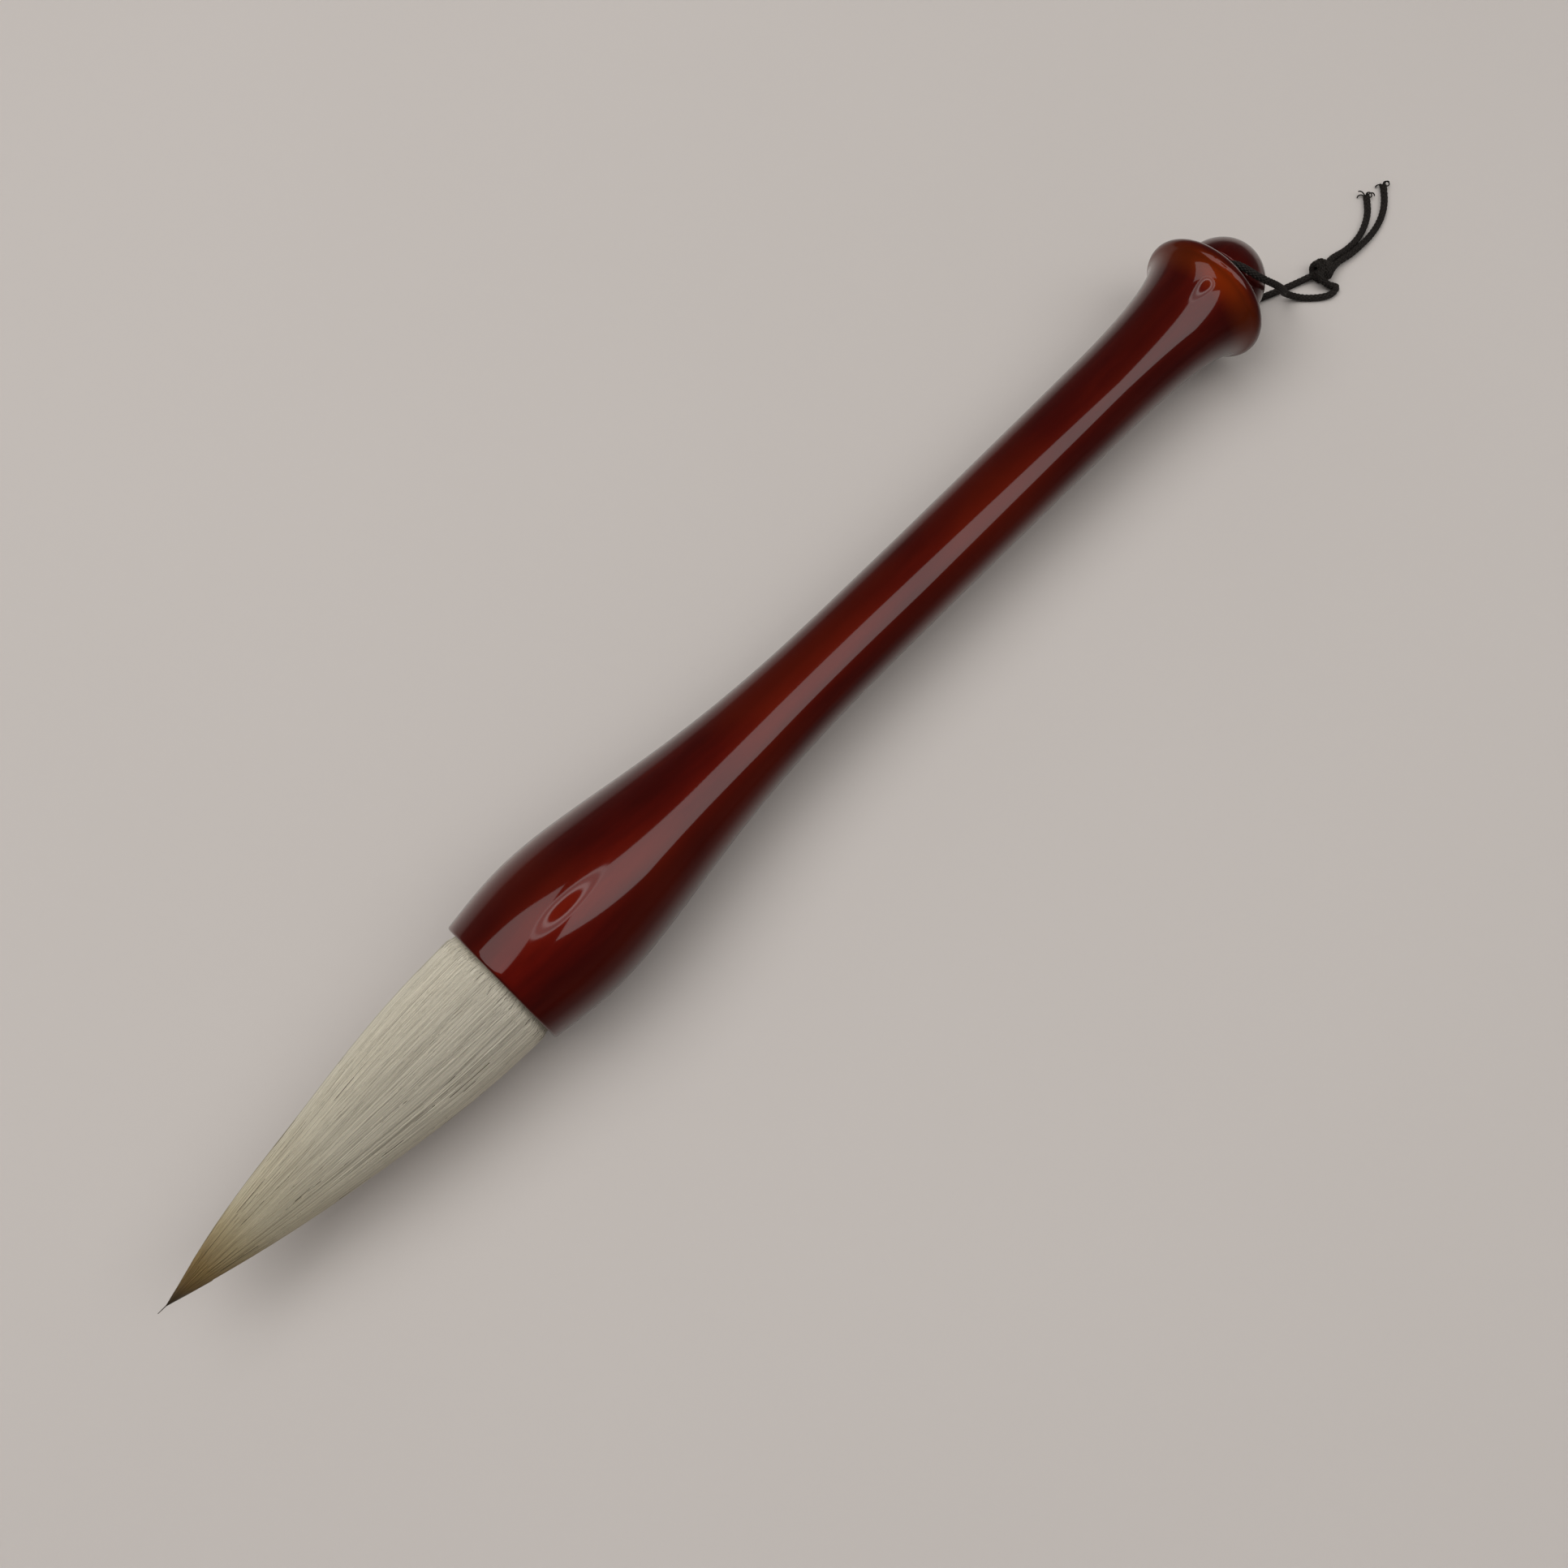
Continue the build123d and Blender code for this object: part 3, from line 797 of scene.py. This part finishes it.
lacquer = lacquered_wood()
handle = revolved("handle_turned", handle_outline(), TURNED_SIDES, lacquer)
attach(handle, "handle")
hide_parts("handle_body")

# ------------------------------------------------------------------ CAD nodes that stay
glue = mottled("dried_glue", (0.35, 0.22, 0.08), (0.50, 0.34, 0.14), 300, 0.3, 0.4)
rosin = mottled("root_rosin", (0.10, 0.035, 0.008), (0.20, 0.08, 0.02), 260, 0.2, 0.6)
thread = mottled("silk_thread", (0.55, 0.48, 0.36), (0.70, 0.64, 0.52), 1800, 0.55)
FINISHES = {"end_knob": lacquer, "knob_glue": glue, "socket_glue": glue,
            "root_rosin": rosin, "binding_thread": thread}
for name, made in FINISHES.items():
    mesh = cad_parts[name].data
    mesh.materials.clear()
    mesh.materials.append(made)

# ------------------------------------------------------------------ table, light and camera
tilt = math.atan((abs(FLOOR_AT_MOUTH) - LIP_RADIUS) / LIP_X)  # of the table in the row frame
table_corners = np.array([(-1, -1, 0), (1, -1, 0), (1, 1, 0), (-1, 1, 0)], float) * TABLE_HALF
floor_mesh = mesh_piece("table", table_corners, [(0, 1, 2, 3)], material=table_material())
floor_mesh.matrix_world = (Matrix.Translation((0, 0, FLOOR_AT_MOUTH * MM))
                           @ Matrix.Rotation(-tilt, 4, "Y"))

# The camera stands over the table. Ground axes: x to the view's right, y up the view, z up;
# the origin is on the table under the camera.
level = math.cos(tilt)
MOUTH_AT = Vector((-45.68, 42.65, -FLOOR_AT_MOUTH * level))  # the mouth's centre
brush_x = Vector((math.cos(HEADING) * level, math.sin(HEADING) * level, -math.sin(tilt)))
brush_y = Vector((-math.sin(HEADING), math.cos(HEADING), 0))
ground_to_brush = Matrix((brush_x, brush_y, brush_x.cross(brush_y)))


def in_brush_frame(point):
    """A point of the ground frame, in metres in the row frame."""
    return ground_to_brush @ (Vector(point) - MOUTH_AT) * MM


camera_data = bpy.data.cameras.new("camera")
camera_data.lens = LENS
camera_data.sensor_width = SENSOR
camera_data.clip_start = 0.01
camera = bpy.data.objects.new("camera", camera_data)
bpy.context.scene.collection.objects.link(camera)
camera.matrix_world = (Matrix.Translation(in_brush_frame((0, 0, CAMERA_HEIGHT)))
                       @ ground_to_brush.to_4x4() @ Matrix.Rotation(CAMERA_PITCH, 4, "X"))
bpy.context.scene.camera = camera


def area_light(name, place, aim, size, radiance, colour=(1, 1, 1)):
    """Rectangular soft light at a place in the ground frame (millimetres), aimed at a point."""
    data = bpy.data.lights.new(name, "AREA")
    data.shape = "RECTANGLE"
    data.size, data.size_y = size[0] * MM, size[1] * MM
    # Cycles divides an area lamp's power by four times its area.
    data.energy = 4 * radiance * data.size * data.size_y
    data.color = colour
    made = bpy.data.objects.new(name, data)
    bpy.context.scene.collection.objects.link(made)
    turn = (Vector(aim) - Vector(place)).to_track_quat("-Z", "Y").to_matrix()
    made.matrix_world = (Matrix.Translation(in_brush_frame(place))
                         @ (ground_to_brush @ turn).to_4x4())
    return made


# Two broad ceiling panels with a ring lamp between them give the lacquer its long highlight. The
# window is the main light; it is kept out of the reflections, as a diffusing curtain would do.
area_light("left_panel", (-595, 150, 1000), (-595, 150, 0), (810, 700), 1.15)
area_light("right_panel", (740, 20, 1000), (740, 20, 0), (1050, 650), 1.4)
window = area_light("window", (-265, 258, 950), (0, 0, 0), (950, 950), 1.3, (0.98, 0.99, 1.0))
window.visible_glossy = False


def ring_point(radius, turn):
    """A point of the ring lamp, in millimetres in the row frame."""
    x = RING_CENTRE[0] + radius * math.cos(turn)
    y = RING_CENTRE[1] + radius * math.sin(turn)
    return in_brush_frame((x, y, RING_HEIGHT)) / MM


ring_turns = np.linspace(0, 2 * math.pi, RING_SIDES, endpoint=False)
ring_points = [ring_point(radius, turn) for radius in RING_RADII for turn in ring_turns]
ring_lamp = mesh_piece("ring_lamp", ring_points, grid_quads(len(RING_RADII), RING_SIDES),
                       material=lamp_material("ring_lamp"),
                       attributes={"glow": np.repeat(RING_GLOW, RING_SIDES)})
ring_lamp.visible_camera = False

# The room is pale to the camera, dim to the table, and darker still in the reflections.
world = bpy.data.worlds.new("studio")
world.use_nodes = True
ray = node(world, "ShaderNodeLightPath")
seen = node(world, "ShaderNodeMath", operation="MULTIPLY_ADD")
link(world, ray.outputs["Is Camera Ray"], seen.inputs[0])
seen.inputs[1].default_value = CAMERA_GAIN
seen.inputs[2].default_value = ROOM_GLOW
mirrored = node(world, "ShaderNodeMath", operation="MULTIPLY_ADD")
link(world, ray.outputs["Is Glossy Ray"], mirrored.inputs[0])
mirrored.inputs[1].default_value = -MIRROR_LOSS
link(world, seen.outputs["Value"], mirrored.inputs[2])
backdrop = world.node_tree.nodes["Background"]
backdrop.inputs["Color"].default_value = (1.0, 0.98, 0.96, 1)
link(world, mirrored.outputs["Value"], backdrop.inputs["Strength"])
bpy.context.scene.world = world
bpy.context.scene.view_settings.view_transform = "Standard"
